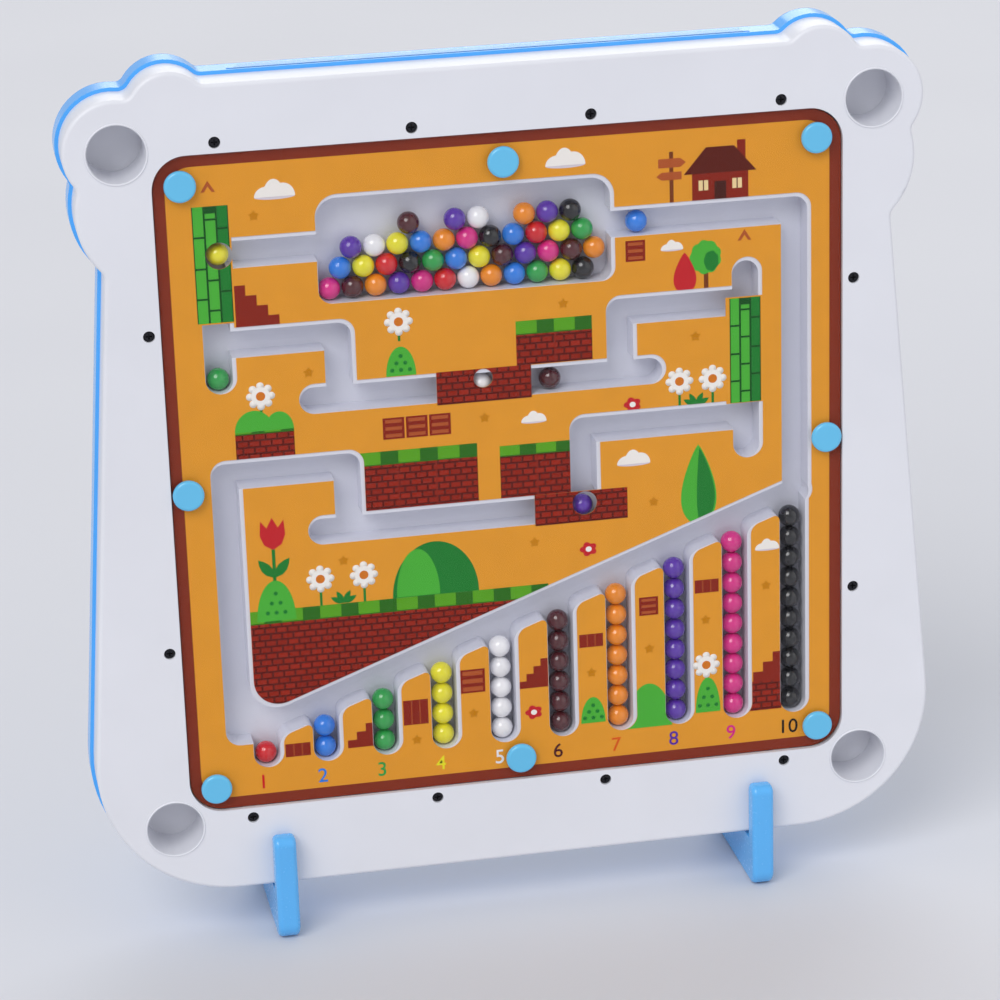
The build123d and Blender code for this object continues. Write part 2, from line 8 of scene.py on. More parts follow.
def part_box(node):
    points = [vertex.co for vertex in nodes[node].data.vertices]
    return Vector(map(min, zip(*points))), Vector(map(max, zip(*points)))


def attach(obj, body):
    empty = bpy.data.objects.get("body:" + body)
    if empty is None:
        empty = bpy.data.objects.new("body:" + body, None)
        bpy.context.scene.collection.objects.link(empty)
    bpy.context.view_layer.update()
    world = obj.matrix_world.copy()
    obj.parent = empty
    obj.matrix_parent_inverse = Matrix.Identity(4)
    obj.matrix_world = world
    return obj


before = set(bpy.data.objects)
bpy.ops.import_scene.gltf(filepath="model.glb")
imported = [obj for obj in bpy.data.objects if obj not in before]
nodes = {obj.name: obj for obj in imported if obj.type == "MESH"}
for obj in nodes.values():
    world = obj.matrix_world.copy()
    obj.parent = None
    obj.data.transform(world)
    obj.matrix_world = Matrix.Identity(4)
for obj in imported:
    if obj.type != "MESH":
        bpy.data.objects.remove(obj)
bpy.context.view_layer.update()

# ---- White back shell ------------------------------------------------------------------------
# The maze side of the case, injection-moulded in white ABS from a spark-eroded tool, so it
# is satin and faintly grained. It has a round leg socket in each corner and a square opening
# for the maze. Everything else is pressed or screwed into it.
mm = 0.001


def linear(code):
    """The linear colour of an sRGB hex code."""
    parts = [int(code[i : i + 2], 16) / 255 for i in (1, 3, 5)]
    return [c / 12.92 if c <= 0.04045 else ((c + 0.055) / 1.055) ** 2.4 for c in parts] + [1.0]


def add_node(tree, kind, inputs=None, **settings):
    """Adds a node with its settings, and its inputs as values or as the sockets that feed them."""
    node = tree.nodes.new(kind)
    for name, value in settings.items():
        setattr(node, name, value)
    for name, value in (inputs or {}).items():
        if isinstance(value, bpy.types.NodeSocket):
            tree.links.new(value, node.inputs[name])
        else:
            node.inputs[name].default_value = value
    return node


def start_material(name):
    """A material with an empty node tree, and that tree."""
    material = bpy.data.materials.new(name)
    material.use_nodes = True
    material.node_tree.nodes.clear()
    return material, material.node_tree


def moulded_abs(name, code, gloss, grain=0.7 * mm, relief=0.012 * mm, coat=0.0):
    """Moulded ABS: flow marks a few centimetres across shift the tone, fine tool grain breaks the gloss."""
    material, tree = start_material(name)
    place = add_node(tree, "ShaderNodeTexCoord").outputs["Object"]
    flow = add_node(tree, "ShaderNodeTexNoise", {"Vector": place, "Scale": 1 / (45 * mm), "Detail": 3.0})
    tone = add_node(
        tree, "ShaderNodeMapRange", {"Value": flow.outputs["Fac"], "To Min": 0.94, "To Max": 1.05}
    )
    paint = add_node(
        tree, "ShaderNodeHueSaturation", {"Color": linear(code), "Value": tone.outputs["Result"]}
    )
    speck = add_node(tree, "ShaderNodeTexNoise", {"Vector": place, "Scale": 1 / grain, "Detail": 2.0})
    rough = add_node(
        tree,
        "ShaderNodeMapRange",
        {"Value": speck.outputs["Fac"], "To Min": gloss * 0.8, "To Max": gloss * 1.25},
    )
    bump = add_node(
        tree, "ShaderNodeBump", {"Height": speck.outputs["Fac"], "Strength": 0.5, "Distance": relief}
    )
    skin = add_node(
        tree,
        "ShaderNodeBsdfPrincipled",
        {
            "Base Color": paint.outputs["Color"],
            "Roughness": rough.outputs["Result"],
            "Normal": bump.outputs["Normal"],
            "IOR": 1.53,
            "Coat Weight": coat,
            "Coat Roughness": 0.08,
        },
    )
    add_node(tree, "ShaderNodeOutputMaterial", {"Surface": skin.outputs["BSDF"]})
    return material


def finish_node(name, material):
    """Gives a CAD node its finish."""
    for place in nodes[name].material_slots:
        place.material = material


def grow(name, tree, sizes, points=((0, 0, 0),)):
    """Runs a Geometry Nodes tree on some points and keeps its result as a plain, smooth mesh."""
    start = bpy.data.meshes.new(name)
    start.from_pydata([Vector(point) for point in points], [], [])
    piece = bpy.data.objects.new(name, start)
    bpy.context.scene.collection.objects.link(piece)
    growth = piece.modifiers.new(name, "NODES")
    growth.node_group = tree
    for socket in tree.interface.items_tree:
        if socket.name in sizes:
            growth[socket.identifier] = sizes[socket.name]
    bpy.context.view_layer.update()
    seen = piece.evaluated_get(bpy.context.evaluated_depsgraph_get())
    result = bpy.data.meshes.new_from_object(seen)
    piece.modifiers.remove(growth)
    piece.data = result
    result.shade_smooth()
    return piece


def ring_tree(name, material, facing):
    """A tree that puts one moulded ring, turned to face a way, on every point it is given."""
    tree = bpy.data.node_groups.new(name, "GeometryNodeTree")
    tree.interface.new_socket("Points", in_out="INPUT", socket_type="NodeSocketGeometry")
    tree.interface.new_socket("Ring radius", in_out="INPUT", socket_type="NodeSocketFloat")
    tree.interface.new_socket("Bead radius", in_out="INPUT", socket_type="NodeSocketFloat")
    tree.interface.new_socket("Steps", in_out="INPUT", socket_type="NodeSocketInt")
    tree.interface.new_socket("Rings", in_out="OUTPUT", socket_type="NodeSocketGeometry")
    given = add_node(tree, "NodeGroupInput").outputs
    hoop = add_node(
        tree,
        "GeometryNodeCurvePrimitiveCircle",
        {"Radius": given["Ring radius"], "Resolution": given["Steps"]},
    )
    bead = add_node(
        tree, "GeometryNodeCurvePrimitiveCircle", {"Radius": given["Bead radius"], "Resolution": 6}
    )
    tube = add_node(
        tree,
        "GeometryNodeCurveToMesh",
        {"Curve": hoop.outputs["Curve"], "Profile Curve": bead.outputs["Curve"]},
    )
    turned = add_node(tree, "GeometryNodeTransform", {"Geometry": tube.outputs["Mesh"], "Rotation": facing})
    rings = add_node(
        tree,
        "GeometryNodeInstanceOnPoints",
        {"Points": given["Points"], "Instance": turned.outputs["Geometry"]},
    )
    real = add_node(tree, "GeometryNodeRealizeInstances", {"Geometry": rings.outputs["Instances"]})
    painted = add_node(
        tree, "GeometryNodeSetMaterial", {"Geometry": real.outputs["Geometry"], "Material": material}
    )
    add_node(tree, "NodeGroupOutput", {"Rings": painted.outputs["Geometry"]})
    return tree


white_abs = moulded_abs("white_abs_injection_moulded", "#E4E5EC", gloss=0.36)
finish_node("white_back_shell", white_abs)

panel_low, panel_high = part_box("maze_cover")
panel_middle = (panel_low + panel_high) / 2
socket_places = [(-131, 122), (131, 122), (-126, -125), (126, -125)]
upright = (math.radians(90), 0, 0)
socket_rims = grow(
    "socket_rims",
    ring_tree("moulded_rims", white_abs, upright),
    {"Ring radius": 10.4 * mm, "Bead radius": 0.35 * mm, "Steps": 64},
    [(x * mm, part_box("white_back_shell")[0].y, panel_middle.z + z * mm) for x, z in socket_places],
)
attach(socket_rims, "board")

# ---- Maze tray -------------------------------------------------------------------------------
# The lanes, ramp, pool and ten columns are one deep moulding of the same white ABS, pressed
# into the back of the shell and held by four screws. Its lane walls were polished in the
# tool so that the beads roll, so it is glossier than the shell.
lane_abs = moulded_abs("white_abs_polished_lanes", "#DEDFEA", gloss=0.3, grain=2.5 * mm, relief=0.001 * mm)
finish_node("maze_tray", lane_abs)

# ---- Screws ----------------------------------------------------------------------------------
# Twelve small cross-head screws of carbon steel with a black oxide finish. They are driven in
# from the maze side and sit sunk in their holes, where they read as black dots.
oxide, tree = start_material("carbon_steel_black_oxide")
place = add_node(tree, "ShaderNodeTexCoord").outputs["Object"]
scale_marks = add_node(tree, "ShaderNodeTexNoise", {"Vector": place, "Scale": 1 / (0.5 * mm), "Detail": 4.0})
blacking = add_node(
    tree,
    "ShaderNodeMix",
    {0: scale_marks.outputs["Fac"], 6: linear("#17171A"), 7: linear("#34343A")},
    data_type="RGBA",
)
steel = add_node(
    tree,
    "ShaderNodeBsdfPrincipled",
    {"Base Color": blacking.outputs[2], "Metallic": 0.75, "Roughness": 0.42},
)
add_node(tree, "ShaderNodeOutputMaterial", {"Surface": steel.outputs["BSDF"]})
finish_node("case_screws", oxide)
finish_node("tray_screws", oxide)

# ---- Beads -----------------------------------------------------------------------------------
# Steel balls of 7.8 mm, tumbled in coloured enamel: a deep glossy skin with the slight orange
# peel of dipped lacquer. There are ten sorted columns, a heap in the pool and six in the lanes.


def lacquered_steel(name, code):
    """Enamelled steel ball: the lacquer pools a little, so its tone and its skin both waver."""
    material, tree = start_material(name)
    place = add_node(tree, "ShaderNodeTexCoord").outputs["Object"]
    pooling = add_node(tree, "ShaderNodeTexNoise", {"Vector": place, "Scale": 1 / (5 * mm), "Detail": 2.0})
    tone = add_node(
        tree, "ShaderNodeMapRange", {"Value": pooling.outputs["Fac"], "To Min": 0.86, "To Max": 1.12}
    )
    paint = add_node(
        tree, "ShaderNodeHueSaturation", {"Color": linear(code), "Value": tone.outputs["Result"]}
    )
    peel = add_node(tree, "ShaderNodeTexNoise", {"Vector": place, "Scale": 1 / (0.9 * mm), "Detail": 1.0})
    bump = add_node(
        tree, "ShaderNodeBump", {"Height": peel.outputs["Fac"], "Strength": 0.35, "Distance": 0.01 * mm}
    )
    skin = add_node(
        tree,
        "ShaderNodeBsdfPrincipled",
        {
            "Base Color": paint.outputs["Color"],
            "Normal": bump.outputs["Normal"],
            "Roughness": 0.16,
            "IOR": 1.52,
            "Coat Weight": 0.6,
            "Coat Roughness": 0.05,
        },
    )
    add_node(tree, "ShaderNodeOutputMaterial", {"Surface": skin.outputs["BSDF"]})
    return material


bead_colours = {
    "red": "#D2141F",
    "blue": "#2C7FE2",
    "green": "#2BA14A",
    "yellow": "#EDE42A",
    "white": "#F2F1F4",
    "brown": "#4E161D",
    "orange": "#F08C16",
    "purple": "#5A2FA6",
    "pink": "#DA2786",
    "black": "#121217",
}
enamel = {name: lacquered_steel(f"enamelled_steel_{name}", code) for name, code in bead_colours.items()}
for name in nodes:
    if name.endswith(("_balls", "_ball")):
        finish_node(name, enamel[name.split("_")[-2]])

# ---- Printed sheet ---------------------------------------------------------------------------
# Coated card, offset printed on an orange ground and die-cut to the lanes. It lies on the lane
# walls, so a white lip of wall shows beside each lane. The prints on it are thin films of ink
# cut by the same die, and the border is a dark brown band.
sheet_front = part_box("maze_label")[0].y
ink_step = 0.035 * mm
ink_back = 0.004 * mm
overprint = 0.07
die_level = 9
border_outer = 119.68
border_inner = 115.6


def printed_card(name, code, spread=0.06, patch=9 * mm):
    """Offset ink on coated card: patches a little more or less inked, and a fine dot pattern."""
    material, tree = start_material(name)
    place = add_node(tree, "ShaderNodeTexCoord").outputs["Object"]
    cover = add_node(tree, "ShaderNodeTexNoise", {"Vector": place, "Scale": 1 / patch, "Detail": 3.0})
    dots = add_node(
        tree, "ShaderNodeTexVoronoi", {"Vector": place, "Scale": 1 / (0.9 * mm), "Randomness": 0.4}
    )
    weight = add_node(
        tree, "ShaderNodeMath", {0: dots.outputs["Distance"], 1: 0.15}, operation="MULTIPLY"
    )
    load = add_node(tree, "ShaderNodeMath", {0: cover.outputs["Fac"], 1: weight.outputs[0]}, operation="ADD")
    tone = add_node(
        tree, "ShaderNodeMapRange", {"Value": load.outputs[0], "To Min": 1 + spread, "To Max": 1 - spread}
    )
    paint = add_node(
        tree, "ShaderNodeHueSaturation", {"Color": linear(code), "Value": tone.outputs["Result"]}
    )
    skin = add_node(
        tree, "ShaderNodeBsdfPrincipled",
        {"Base Color": paint.outputs["Color"], "Roughness": 0.55, "Specular IOR Level": 0.15},
    )
    add_node(tree, "ShaderNodeOutputMaterial", {"Surface": skin.outputs["BSDF"]})
    return material


def thicken(shape, level):
    """Turns flat faces on the sheet into a closed film of ink, thicker on a higher level."""
    bmesh.ops.remove_doubles(shape, verts=shape.verts, dist=0.001 * mm)
    grown = bmesh.ops.extrude_face_region(shape, geom=shape.faces[:])
    moved = [part for part in grown["geom"] if isinstance(part, bmesh.types.BMVert)]
    bmesh.ops.translate(shape, verts=moved, vec=(0, -ink_step * level, 0))
    bmesh.ops.recalc_face_normals(shape, faces=shape.faces[:])


sheet_shape = bmesh.new()
sheet_shape.from_mesh(nodes["maze_label"].data)
bmesh.ops.remove_doubles(sheet_shape, verts=sheet_shape.verts, dist=0.001 * mm)
behind = [face for face in sheet_shape.faces if face.calc_center_median().y > sheet_front + 0.01 * mm]
bmesh.ops.delete(sheet_shape, geom=behind, context="FACES")
bmesh.ops.translate(sheet_shape, verts=sheet_shape.verts, vec=(0, ink_back, 0))
thicken(sheet_shape, die_level)
die_mesh = bpy.data.meshes.new("cutting_die")
sheet_shape.to_mesh(die_mesh)
sheet_shape.free()
cutting_die = bpy.data.objects.new("cutting_die", die_mesh)
bpy.context.scene.collection.objects.link(cutting_die)


def keep_print(name, shape, ink, die_cut=True):
    """Makes a print a piece of the board in one ink, cut off where the sheet is cut for the lanes."""
    mesh = bpy.data.meshes.new(name)
    shape.to_mesh(mesh)
    shape.free()
    piece = bpy.data.objects.new(name, mesh)
    bpy.context.scene.collection.objects.link(piece)
    if die_cut:
        cut = piece.modifiers.new("die", "BOOLEAN")
        cut.operation = "INTERSECT"
        cut.solver = "EXACT"
        cut.use_self = True
        cut.object = cutting_die
        bpy.context.view_layer.update()
        seen = piece.evaluated_get(bpy.context.evaluated_depsgraph_get())
        trimmed = bpy.data.meshes.new_from_object(seen)
        piece.modifiers.remove(cut)
        piece.data = trimmed
    piece.data.materials.clear()
    piece.data.materials.append(ink)
    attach(piece, "board")
    return piece


def print_shapes(name, ink, level, outlines):
    """Prints outlines, in millimetres from the middle of the panel."""
    whole = bmesh.new()
    for index, outline in enumerate(outlines):
        shape = bmesh.new()
        corners = [
            shape.verts.new((panel_middle.x + x * mm, sheet_front - ink_back, panel_middle.z + z * mm))
            for x, z in outline
        ]
        shape.faces.new(corners)
        thicken(shape, level + overprint * (index % 5))
        kept = bpy.data.meshes.new("print")
        shape.to_mesh(kept)
        shape.free()
        whole.from_mesh(kept)
        bpy.data.meshes.remove(kept)
    return keep_print(name, whole, ink)


def bar(left, right, low, high):
    """The outline of an upright rectangle."""
    return [(left, low), (right, low), (right, high), (left, high)]


def rounded(x, z, width, height, lobes=0, depth=0.0, steps=48):
    """An ellipse, or one with lobes round it, such as the crown of a tree."""
    outline = []
    for step in range(steps):
        turn = math.tau * step / steps
        reach = 1 - depth * (1 - abs(math.sin(lobes * turn / 2)))
        outline.append((x + width / 2 * reach * math.cos(turn), z + height / 2 * reach * math.sin(turn)))
    return outline


def domed(left, right, low, height, steps=24):
    """The outline of a half ellipse standing on a level base."""
    middle = (left + right) / 2
    half = (right - left) / 2
    turns = [math.pi * step / steps for step in range(steps + 1)]
    return [(middle + half * math.cos(turn), low + height * math.sin(turn)) for turn in turns]


def square_ring(half, corner, steps=10):
    """The corners of a rounded square about the middle of the panel."""
    outline = []
    for quarter in range(4):
        centre = [(1, 1), (-1, 1), (-1, -1), (1, -1)][quarter]
        for step in range(steps + 1):
            turn = math.radians(90) * (quarter + step / steps)
            outline.append(
                (
                    centre[0] * (half - corner) + corner * math.cos(turn),
                    centre[1] * (half - corner) + corner * math.sin(turn),
                )
            )
    return outline


sheet_card = printed_card("coated_card_orange_ground", "#E89D2E")
finish_node("maze_label", sheet_card)

brown_ink = printed_card("offset_ink_border_brown", "#86301A")
outer_edge = square_ring(border_outer, 12.0)
inner_edge = square_ring(border_inner, 9.0)
band = bmesh.new()
for i in range(len(outer_edge)):
    corners = [outer_edge[i - 1], outer_edge[i], inner_edge[i], inner_edge[i - 1]]
    band.faces.new(
        [
            band.verts.new((panel_middle.x + x * mm, sheet_front - ink_back, panel_middle.z + z * mm))
            for x, z in corners
        ]
    )
thicken(band, 1)
keep_print("print_border", band, brown_ink, die_cut=False)

# ---- Print: sky and stars --------------------------------------------------------------------
# White clouds with a pale shadow under them, and small stars only a shade deeper than the
# ground. Plain shapes in offset ink on the sheet.
cloud_white = printed_card("offset_ink_cloud_white", "#F6F1EC", spread=0.03)
cloud_shade = printed_card("offset_ink_cloud_shade", "#DCD3DC", spread=0.03)
star_gold = printed_card("offset_ink_star_gold", "#CC8205", spread=0.03)
clouds = [(-78.5, 105.5, 14), (22, 108.5, 14), (59, 74.5, 8), (8.5, 16.5, 9), (44, -2, 12)]
clouds += [(92.5, -39.5, 9)]
puffs = [(-0.5, 0.1, 0.26), (-0.28, 0.24, 0.44), (-0.1, 0.5, 0.33)]


def billows(x, z, width):
    """The overlapping puffs of one cloud, each a half ellipse on the same level base."""
    base = z - width / 6
    return [domed(x + near * width, x + far * width, base, rise * width) for near, far, rise in puffs]


cloud_bases = [rounded(x, z - width / 6, width, width / 7) for x, z, width in clouds]
print_shapes("print_cloud_shadows", cloud_shade, 1, cloud_bases)
for index, puff_group in enumerate(zip(*[billows(*cloud) for cloud in clouds])):
    print_shapes(f"print_cloud_puffs_{index + 1}", cloud_white, 2 + 0.5 * index, puff_group)


def star(x, z, size):
    """A five-pointed star with blunt points."""
    outline = []
    for step in range(10):
        turn = math.radians(90 + 36 * step)
        reach = size if step % 2 == 0 else size * 0.55
        outline.append((x + reach * math.cos(turn), z + reach * math.sin(turn)))
    return outline


star_places = [(-86, 97), (-9, 18), (51, -19), (7.5, -30), (-61, -30), (67, 41), (20, 57), (-70, 40)]
star_places += [(-37.5, -101), (-16.5, -93), (27, -82), (48.5, -75), (69.5, -66), (92, -55)]
print_shapes("print_stars", star_gold, 1, [star(x, z, 2.1) for x, z in star_places])

# ---- Print: garden walls, grass and steps ----------------------------------------------------
# Brick-red walls with dark mortar lines in 4 mm by 2.4 mm bricks, capped with bright and dark
# turf, and flights of steps and crates in the same red. The walls run up to the lanes, where
# the sheet is cut.
brick_ink, tree = start_material("offset_ink_brick_courses")
place = add_node(tree, "ShaderNodeTexCoord").outputs["Object"]
flat = add_node(tree, "ShaderNodeSeparateXYZ", {"Vector": place})
plan = add_node(tree, "ShaderNodeCombineXYZ", {"X": flat.outputs["X"], "Y": flat.outputs["Z"]})
courses = add_node(
    tree,
    "ShaderNodeTexBrick",
    {
        "Vector": plan.outputs["Vector"],
        "Color1": linear("#9E2610"),
        "Color2": linear("#8E200D"),
        "Mortar": linear("#5A140A"),
        "Scale": 1.0,
        "Mortar Size": 0.4 * mm,
        "Mortar Smooth": 0.2,
        "Brick Width": 4.0 * mm,
        "Row Height": 2.4 * mm,
    },
)
skin = add_node(
    tree,
    "ShaderNodeBsdfPrincipled",
    {"Base Color": courses.outputs["Color"], "Roughness": 0.55, "Specular IOR Level": 0.15},
)
add_node(tree, "ShaderNodeOutputMaterial", {"Surface": skin.outputs["BSDF"]})
turf_bright = printed_card("offset_ink_turf_bright", "#5CA61F")
turf_dark = printed_card("offset_ink_turf_dark", "#2C6E18")
step_ink = printed_card("offset_ink_step_red", "#8C2412")
mark_ink = printed_card("offset_ink_crate_mark", "#B5582A")

ground = [(-99, -95), (-93, -91.3), (18.3, -51), (-99, -51)]
walls = [
    bar(-96.5, -76, 9.5, 20),
    bar(-54, -12, -12.5, 4),
    bar(-4, 22, -12.5, 3),
    bar(3, 30, 36, 47),
    bar(-25.5, 8, 24, 36),
    bar(8, 41.5, -24, -12.5),
    bar(84.5, 97.5, -103.5, -92),
    ground,
]
print_shapes("print_brick_walls", brick_ink, 1, walls)
turf_runs = [(-54, -12, 4, 9), (-4, 22, 3, 7), (3, 30, 47, 52), (-97.5, 12, -51, -46)]
turf_runs += [(-96.5, -76, 19.5, 21.5)]
print_shapes("print_turf", turf_dark, 1.5, [bar(*run) for run in turf_runs])
tufts = []
for left, right, low, high in turf_runs:
    count = round((right - left) / 13)
    reach = (right - left) / count
    tufts += [bar(left + reach * i, left + reach * (i + 0.55), low + 0.4, high) for i in range(count)]
print_shapes("print_turf_tufts", turf_bright, 2, tufts)
wall_joints = [(x, x + 0.5, -12, 4) for x in (-40.5, -27)] + [(9, 9.5, -12, 3), (16.5, 17, 36, 47)]
print_shapes("print_wall_joints", step_ink, 2, [bar(*run) for run in wall_joints])


def steps(left, low, width, height, count, rises_right):
    """A flight of square steps."""
    outline = [(left, low), (left + width, low)]
    for index in range(count):
        up = low + height * (count - index) / count
        near = width * index / count
        far = width * (index + 1) / count
        outline += [(left + width - near, up), (left + width - far, up)]
    if not rises_right:
        outline = [(2 * left + width - x, z) for x, z in reversed(outline)]
    return outline


flights = [
    steps(-94, 58, 15, 15, 4, False),
    steps(-62.5, -101.5, 10, 9, 3, True),
    steps(0.5, -85.5, 10.5, 11, 4, True),
    steps(87, -92, 11, 11, 3, True),
]
bricks = [(-85, -76, -102.5, -97.5), (-42, -33, -95, -85.5), (22.8, 31.5, -72, -67)]
bricks += [(65.6, 74.4, -55.5, -50.5)]
crates = [(42.5, 49.5, 70, 77.5), (-21, -12, -85, -76), (45, 52, -62, -55)]
crates += [(-45, -37.4, 13.2, 21), (-36.8, -29.2, 13.2, 21), (-28.6, -21, 13.2, 21)]
print_shapes("print_steps", step_ink, 1, flights + [bar(*brick) for brick in bricks])
print_shapes("print_crates", step_ink, 1, [bar(*crate) for crate in crates])
slats = []
for left, right, low, high in crates:
    third = (high - low) / 3
    for i in range(3):
        slats.append(bar(left + 0.9, right - 0.9, low + third * i + 0.7, low + third * (i + 1) - 0.7))
print_shapes("print_crate_slats", mark_ink, 2, slats)
joint_lines = []
for left, right, low, high in bricks:
    for part in (1 / 3, 2 / 3):
        joint_x = left + (right - left) * part
        joint_lines.append(bar(joint_x - 0.15, joint_x + 0.15, low, high))
print_shapes("print_brick_joints", mark_ink, 2, joint_lines)

# ---- Print: bamboo, bushes and hills ---------------------------------------------------------
# Clumps of bamboo canes, two of which bridge a lane as a tunnel, a pointed cypress, leafy
# bushes and rounded hills. Two greens, with the lit side on the left, and a deep green
# between the canes.
leaf_bright = printed_card("offset_ink_leaf_bright", "#4DB43A")
leaf_dark = printed_card("offset_ink_leaf_dark", "#1F8030")
leaf_deep = printed_card("offset_ink_leaf_deep", "#14521E")
cane_gap = 0.7
cane_nodes = [(0.2, 0.46, 0.73), (0.1, 0.36, 0.62, 0.88), (0.26, 0.52, 0.8)]
clumps = [(-107, -94.6, 60.5, 101.5), (79.4, 90.6, 15.2, 53.6)]
print_shapes("print_bamboo_ground", leaf_deep, 1, [bar(*clump) for clump in clumps])
lit_canes = []
shaded_canes = []
knots = []
for left, right, low, high in clumps:
    pitch = (right - left) / len(cane_nodes)
    for index, heights in enumerate(cane_nodes):
        near = left + pitch * index + cane_gap / 2
        far = near + pitch - cane_gap
        cane = bar(near, far, low, high - 2.5 * (index % 2))
        if index < 2:
            lit_canes.append(cane)
        else:
            shaded_canes.append(cane)
        for part in heights:
            level = low + (high - low) * part
            knots.append(bar(near - 0.2, far + 0.2, level, level + 0.7))
print_shapes("print_bamboo_lit_canes", leaf_bright, 2, lit_canes)
print_shapes("print_bamboo_shaded_canes", leaf_dark, 2, shaded_canes)
print_shapes("print_bamboo_knots", leaf_deep, 3, knots)


def spindle(x, low, width, height, left_share=1.0, steps=20):
    """A tree with a rounded foot and a pointed top, its left side narrowed to a share."""
    rises = [step / steps for step in range(1, steps)]
    swells = [math.sin(math.pi * rise**0.62) ** 0.8 for rise in rises]
    right = [(x + width / 2 * swell, low + height * rise) for rise, swell in zip(rises, swells)]
    left = [
        (x - left_share * width / 2 * swell, low + height * rise) for rise, swell in zip(rises, swells)
    ]
    return [(x, low)] + right + [(x, low + height)] + left[::-1]


cypress = spindle(67.5, -29, 13, 30)
print_shapes("print_cypress", leaf_bright, 1, [cypress])
print_shapes("print_cypress_shade", leaf_dark, 2, [spindle(67.9, -28, 11, 27.6, left_share=0.2)])
hills = [domed(-44, -13, -46, 20), domed(39.5, 56.5, -105.5, 17)]
bushes = [(-92.4, -78.6, -50, 15), (-43, -32.5, 36, 10.5), (22.8, 31.8, -101.5, 10), (65.4, 74.6, -102, 13.5)]
mounds = [domed(-96.5, -83, 20.5, 7.5), domed(-86, -76, 20.5, 6.5)]
print_shapes("print_hill", leaf_dark, 1, hills[:1])
print_shapes("print_hill_light", leaf_bright, 2, [domed(-42.5, -27, -45.8, 17.5)])
print_shapes("print_bushes", leaf_bright, 2.5, [domed(*bush) for bush in bushes] + hills[1:] + mounds)
leaf_marks = []
for left, right, low, height in bushes:
    middle = (left + right) / 2
    for row in range(3):
        level = low + height * (0.2 + 0.24 * row)
        leaf_marks += [rounded(middle + 3.1 * (i - (2 - row) / 2), level, 1.5, 1.5) for i in range(3 - row)]
print_shapes("print_bush_leaves", leaf_dark, 3.5, leaf_marks)

# ---- Print: flowers --------------------------------------------------------------------------
# Daisies with eight white petals and an orange eye, each on its stem, small red blossoms, a
# round tree and one red tulip over the large bush. The petals repeat round each eye.
petal_white = printed_card("offset_ink_petal_white", "#F7F3EE", spread=0.03)
eye_orange = printed_card("offset_ink_daisy_eye", "#D8791E")
blossom_red = printed_card("offset_ink_blossom_red", "#C9232B")
eye_dark = printed_card("offset_ink_eye_brown", "#4A1B12")

petals = bpy.data.node_groups.new("daisy_petals", "GeometryNodeTree")
petals.interface.new_socket("Eyes", in_out="INPUT", socket_type="NodeSocketGeometry")
petals.interface.new_socket("Petals", in_out="INPUT", socket_type="NodeSocketInt")
petals.interface.new_socket("Head radius", in_out="INPUT", socket_type="NodeSocketFloat")
petals.interface.new_socket("Petal radius", in_out="INPUT", socket_type="NodeSocketFloat")
petals.interface.new_socket("Ink", in_out="INPUT", socket_type="NodeSocketFloat")
petals.interface.new_socket("Flowers", in_out="OUTPUT", socket_type="NodeSocketGeometry")
given = add_node(petals, "NodeGroupInput").outputs
head = add_node(
    petals, "GeometryNodeMeshCircle", {"Vertices": given["Petals"], "Radius": given["Head radius"]}
)
petal = add_node(
    petals,
    "GeometryNodeMeshCylinder",
    {"Vertices": 14, "Radius": given["Petal radius"], "Depth": given["Ink"]},
)
one_head = add_node(
    petals,
    "GeometryNodeInstanceOnPoints",
    {"Points": head.outputs["Mesh"], "Instance": petal.outputs["Mesh"]},
)
facing_out = add_node(
    petals, "GeometryNodeTransform", {"Geometry": one_head.outputs["Instances"], "Rotation": upright}
)
heads = add_node(
    petals,
    "GeometryNodeInstanceOnPoints",
    {"Points": given["Eyes"], "Instance": facing_out.outputs["Geometry"]},
)
real = add_node(petals, "GeometryNodeRealizeInstances", {"Geometry": heads.outputs["Instances"]})
inked = add_node(
    petals, "GeometryNodeSetMaterial", {"Geometry": real.outputs["Geometry"], "Material": petal_white}
)
add_node(petals, "NodeGroupOutput", {"Flowers": inked.outputs["Geometry"]})

daisies = [(-38, 55.5), (-87, 33), (61, 25), (73, 25), (-69.5, -36), (-54, -36), (69.5, -83.5)]
petal_film = ink_step * 3
daisy_petals = grow(
    "print_daisy_petals",
    petals,
    {"Petals": 8, "Head radius": 3.7 * mm, "Petal radius": 1.36 * mm, "Ink": petal_film},
    [
        (panel_middle.x + x * mm, sheet_front - ink_back - petal_film / 2, panel_middle.z + z * mm)
        for x, z in daisies
    ],
)
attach(daisy_petals, "board")
print_shapes("print_daisy_hearts", petal_white, 4, [rounded(x, z, 6.6, 6.6) for x, z in daisies])
print_shapes("print_daisy_eyes", eye_orange, 5, [rounded(x, z, 3.2, 3.2) for x, z in daisies])
stems = [bar(x - 0.45, x + 0.45, z - drop, z - 3) for (x, z), drop in zip(daisies, (7, 6, 9, 9, 10, 10, 6))]


def leaf(x, z, length, lean):
    """A pointed leaf growing from a spot on the ground, leaning by some degrees."""
    side = [(0, 0), (0.18, 0.3), (0.2, 0.55), (0.12, 0.8), (0, 1), (-0.12, 0.8), (-0.2, 0.55), (-0.18, 0.3)]
    turn = math.radians(lean)
    return [
        (
            x + length * (across * math.cos(turn) + up * math.sin(turn)),
            z + length * (up * math.cos(turn) - across * math.sin(turn)),
        )
        for across, up in side
    ]


